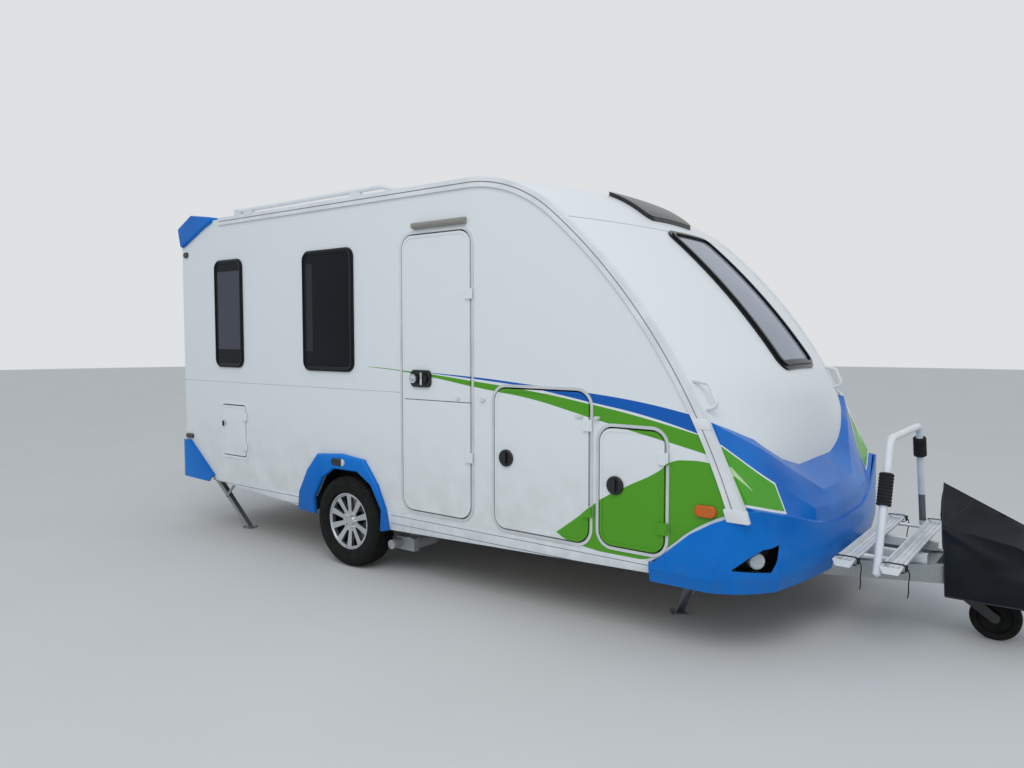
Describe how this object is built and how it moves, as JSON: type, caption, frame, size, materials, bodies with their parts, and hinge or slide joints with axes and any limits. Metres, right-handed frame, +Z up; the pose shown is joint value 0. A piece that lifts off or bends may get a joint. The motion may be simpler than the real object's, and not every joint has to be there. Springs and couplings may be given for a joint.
{
  "type": "travel caravan",
  "caption": "Single-axle travel caravan with sloped front, side door, storage hatches, corner steadies, jockey wheel, drawbar bicycle rack and hitch cover.",
  "frame": {"origin": "on the ground, at the centre of the overall length and width", "axes": "+X forwards to the drawbar, +Y to the left, +Z up"},
  "size_m": [5.994, 2.392, 2.57],
  "materials": {
    "white_panel": "gloss",
    "blue_moulding": "gloss",
    "rail_alloy": "satin",
    "galvanised": "matt",
    "black_plastic": "matt",
    "dark_pane": "gloss",
    "amber_lens": "gloss",
    "red_lens": "gloss",
    "clear_lens": "gloss",
    "tyre_rubber": "matt",
    "wheel_alloy": "satin",
    "grey_cast": "satin",
    "black_vinyl": "matt",
    "foam_black": "matt",
    "floor_board": "matt"
  },
  "bodies": {
    "caravan_body": {"awning_lamp": "clear_lens", "awning_rails": "rail_alloy", "axle": "galvanised", "chassis_rails": "galvanised", "coupling_head": "grey_cast", "drawbar": "galvanised", "floor_panel": "floor_board", "fridge_vents": "clear_lens", "front_apron": "blue_moulding", "front_lamps": "clear_lens", "front_panel": "white_panel", "front_window_frame": "black_plastic", "grab_handles": "rail_alloy", "handbrake_lever": "black_plastic", "jockey_post": "galvanised", "marker_lamps": "amber_lens", "mover_units": "grey_cast", "opening_frames": "rail_alloy", "rack_hoop": "galvanised", "rack_pads": "foam_black", "rack_rails": "rail_alloy", "rear_bumper": "blue_moulding", "rear_corner_caps": "blue_moulding", "rear_wall": "white_panel", "roof_lights": "dark_pane", "roof_panel": "white_panel", "roof_rails": "rail_alloy", "side_wall_left": "white_panel", "side_wall_right": "white_panel", "skirt_rails": "rail_alloy", "steady_bases": "galvanised", "tail_lamps": "red_lens", "wheel_arch_trims": "blue_moulding", "wheel_housings": "black_plastic", "window_frames": "black_plastic", "window_panes": "dark_pane"},
    "wheel_right": {"tyre_right": "tyre_rubber", "rim_right": "wheel_alloy"},
    "wheel_left": {"tyre_left": "tyre_rubber", "rim_left": "wheel_alloy"},
    "entrance_door": {"door_leaf": "white_panel", "door_lock": "black_plastic"},
    "garage_lid_right": {"garage_hatch_right": "white_panel", "garage_knob_right": "black_plastic"},
    "gas_lid": {"gas_hatch": "white_panel", "gas_knob": "black_plastic"},
    "service_lid": {"service_hatch": "white_panel"},
    "garage_lid_left": {"garage_hatch_left": "white_panel"},
    "jockey_inner": {"jockey_tube": "galvanised"},
    "jockey_swivelling_fork": {"jockey_fork": "galvanised"},
    "jockey_roller": {"jockey_wheel": "tyre_rubber"},
    "cover": {"hitch_cover": "black_vinyl"},
    "leg_rear_right": {"steady_leg_rear_right": "galvanised"},
    "strut_rear_right": {"steady_strut_rear_right": "galvanised"},
    "leg_rear_left": {"steady_leg_rear_left": "galvanised"},
    "strut_rear_left": {"steady_strut_rear_left": "galvanised"},
    "leg_front_right": {"steady_leg_front_right": "galvanised"},
    "strut_front_right": {"steady_strut_front_right": "galvanised"},
    "leg_front_left": {"steady_leg_front_left": "galvanised"},
    "strut_front_left": {"steady_strut_front_left": "galvanised"}
  },
  "joints": [
    {"name": "wheel_spin_right", "type": "hinge", "parent": "caravan_body", "child": "wheel_right", "pos_m": [-0.913, -1.09, 0.3075], "axis": [0, 1, 0], "continuous": true},
    {"name": "wheel_spin_left", "type": "hinge", "parent": "caravan_body", "child": "wheel_left", "pos_m": [-0.913, 1.09, 0.3075], "axis": [0, 1, 0], "continuous": true},
    {"name": "door_hinge", "type": "hinge", "parent": "caravan_body", "child": "entrance_door", "pos_m": [0.191, -1.17, 1.32], "axis": [0, 0, 1], "range_deg": [0, 170]},
    {"name": "garage_hinge_right", "type": "hinge", "parent": "caravan_body", "child": "garage_lid_right", "pos_m": [1.002, -1.17, 0.86], "axis": [0, 0, 1], "range_deg": [0, 170]},
    {"name": "gas_hinge", "type": "hinge", "parent": "caravan_body", "child": "gas_lid", "pos_m": [1.437, -1.17, 0.78], "axis": [0, 0, 1], "range_deg": [0, 170]},
    {"name": "service_hinge", "type": "hinge", "parent": "caravan_body", "child": "service_lid", "pos_m": [-2.05, -1.17, 0.83], "axis": [0, 0, 1], "range_deg": [0, 170]},
    {"name": "garage_hinge_left", "type": "hinge", "parent": "caravan_body", "child": "garage_lid_left", "pos_m": [1.002, 1.17, 0.86], "axis": [0, 0, -1], "range_deg": [0, 170]},
    {"name": "steady_rear_right", "type": "hinge", "parent": "caravan_body", "child": "leg_rear_right", "pos_m": [-2.71, -1, 0.385], "axis": [0.2075, -0.9782, 0], "range_deg": [0, 44]},
    {"name": "strut_rear_right", "type": "hinge", "parent": "leg_rear_right", "child": "strut_rear_right", "pos_m": [-2.5912, -0.9748, 0.2464], "axis": [0.2075, -0.9782, 0], "range_deg": [-88, 0]},
    {"name": "steady_rear_left", "type": "hinge", "parent": "caravan_body", "child": "leg_rear_left", "pos_m": [-2.71, 1, 0.385], "axis": [-0.2075, -0.9782, 0], "range_deg": [0, 44]},
    {"name": "strut_rear_left", "type": "hinge", "parent": "leg_rear_left", "child": "strut_rear_left", "pos_m": [-2.5912, 0.9748, 0.2464], "axis": [-0.2075, -0.9782, 0], "range_deg": [-88, 0]},
    {"name": "steady_front_right", "type": "hinge", "parent": "caravan_body", "child": "leg_front_right", "pos_m": [1.54, -1.02, 0.385], "axis": [0.8051, 0.5932, 0], "range_deg": [0, 35]},
    {"name": "strut_front_right", "type": "hinge", "parent": "leg_front_right", "child": "strut_front_right", "pos_m": [1.4392, -0.8832, 0.2464], "axis": [0.8051, 0.5932, 0], "range_deg": [-70, 0]},
    {"name": "steady_front_left", "type": "hinge", "parent": "caravan_body", "child": "leg_front_left", "pos_m": [1.54, 1.02, 0.385], "axis": [-0.8051, 0.5932, 0], "range_deg": [0, 35]},
    {"name": "strut_front_left", "type": "hinge", "parent": "leg_front_left", "child": "strut_front_left", "pos_m": [1.4392, 0.8832, 0.2464], "axis": [-0.8051, 0.5932, 0], "range_deg": [-70, 0]},
    {"name": "jockey_lift", "type": "slide", "parent": "caravan_body", "child": "jockey_inner", "axis": [0, 0, 1], "range_m": [-0.15, 0.05]},
    {"name": "jockey_swivel", "type": "hinge", "parent": "jockey_inner", "child": "jockey_swivelling_fork", "pos_m": [2.581, 0, 0.25], "axis": [0, 0, 1], "continuous": true},
    {"name": "jockey_roll", "type": "hinge", "parent": "jockey_swivelling_fork", "child": "jockey_roller", "pos_m": [2.714, 0, 0.117], "axis": [0, 1, 0], "continuous": true},
    {"name": "cover_lift", "type": "slide", "parent": "caravan_body", "child": "cover", "axis": [0, 0, 1], "range_m": [0, 0.7]}
  ],
  "couplings": [
    {"joint": "strut_rear_right", "follows": "steady_rear_right", "ratio": -2},
    {"joint": "strut_rear_left", "follows": "steady_rear_left", "ratio": -2},
    {"joint": "strut_front_right", "follows": "steady_front_right", "ratio": -2},
    {"joint": "strut_front_left", "follows": "steady_front_left", "ratio": -2}
  ]
}
